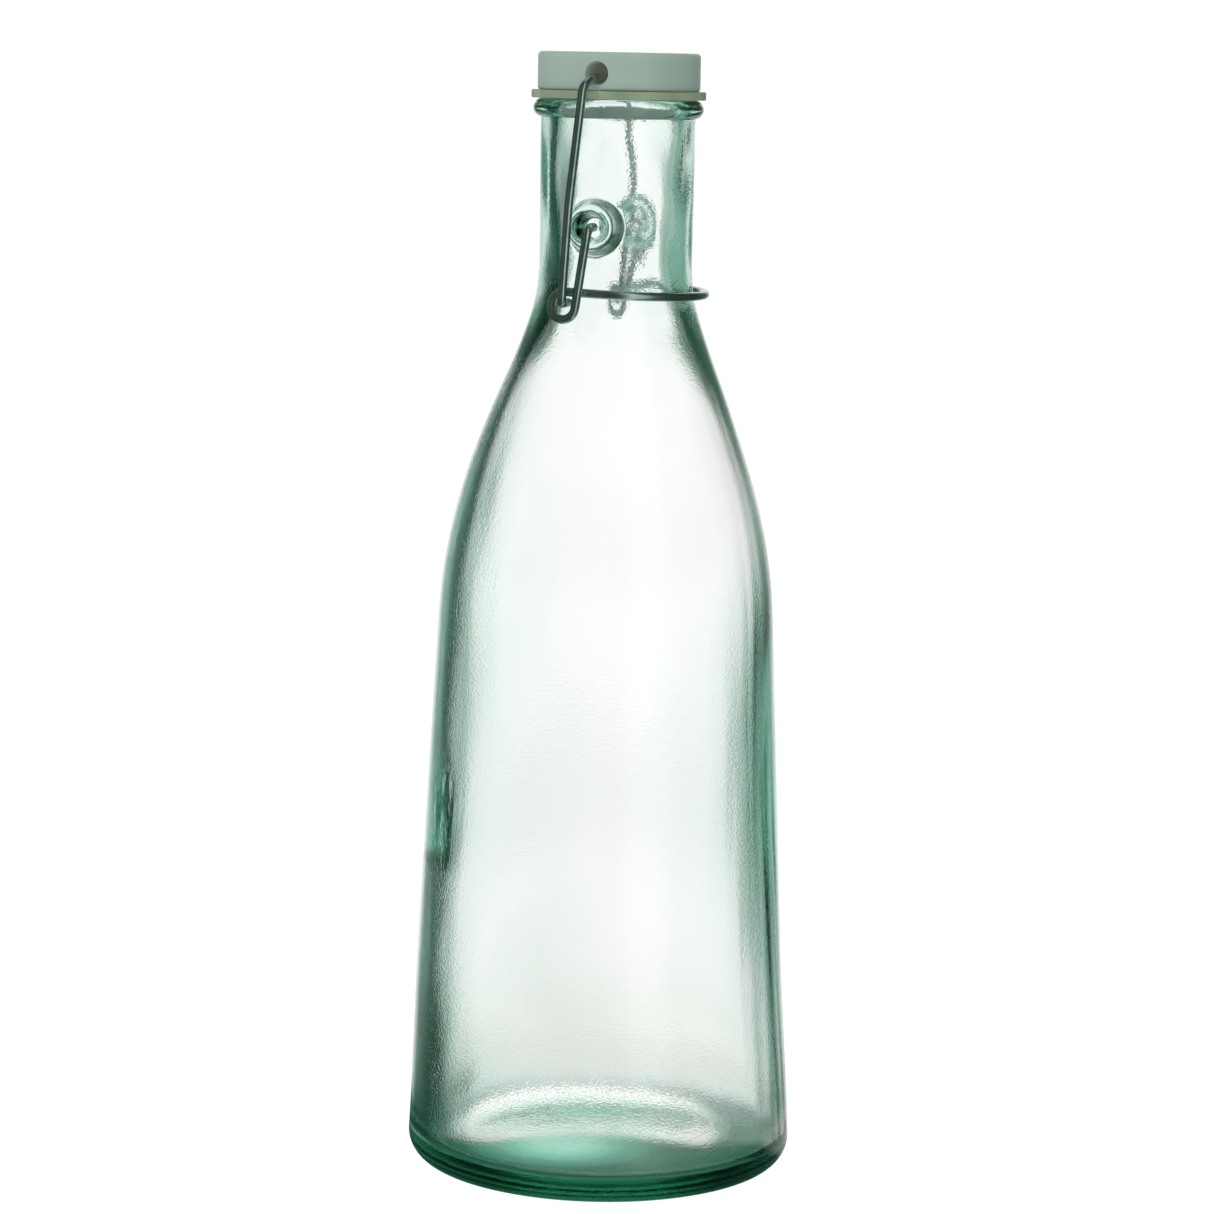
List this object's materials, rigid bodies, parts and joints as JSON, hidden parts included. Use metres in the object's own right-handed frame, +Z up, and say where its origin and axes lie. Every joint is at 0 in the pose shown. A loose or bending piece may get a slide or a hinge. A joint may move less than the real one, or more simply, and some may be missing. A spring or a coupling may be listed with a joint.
{
  "type": "growler",
  "caption": "Tall tapered glass bottle closed by a plastic stopper and rubber gasket, held down by an over-centre wire lever and bail.",
  "frame": {"origin": "middle of the bottle's foot, on the surface that it stands on", "axes": "+Z up the bottle; the lever wire's pivots lie along Y; the thumb loop is on the +X side of the neck"},
  "size_m": [0.1022, 0.1022, 0.295],
  "materials": {
    "glass": "clear, faintly sea-green glass with small flaws",
    "cap_plastic": "milky translucent plastic, satin",
    "gasket_rubber": "pale rubber, satin",
    "wire_steel": "drawn wire, dull bright"
  },
  "bodies": {
    "bottle": {"bottle": "glass"},
    "lever": {"lever_wire": "wire_steel"},
    "bail": {"bail_wire": "wire_steel"},
    "stopper": {"stopper_cap": "cap_plastic", "gasket": "gasket_rubber"}
  },
  "joints": [
    {"name": "lever_swing", "type": "hinge", "parent": "bottle", "child": "lever", "pos_m": [0, 0, 0.2504], "axis": [0, -1, 0], "range_deg": [0, 75], "deforming": ["gasket"]},
    {"name": "bail_pivot", "type": "hinge", "parent": "lever", "child": "bail", "pos_m": [-0.0059, 0, 0.231], "axis": [0, -1, 0], "range_deg": [-50, 0.5]},
    {"name": "stopper_pivot", "type": "hinge", "parent": "bail", "child": "stopper", "pos_m": [-0.001, 0, 0.2884], "axis": [0, -1, 0], "range_deg": [-26, 0.5]}
  ],
  "couplings": [
    {"joint": "bail_pivot", "follows": "lever_swing", "ratio": -0.664},
    {"joint": "stopper_pivot", "follows": "lever_swing", "ratio": -0.336}
  ]
}
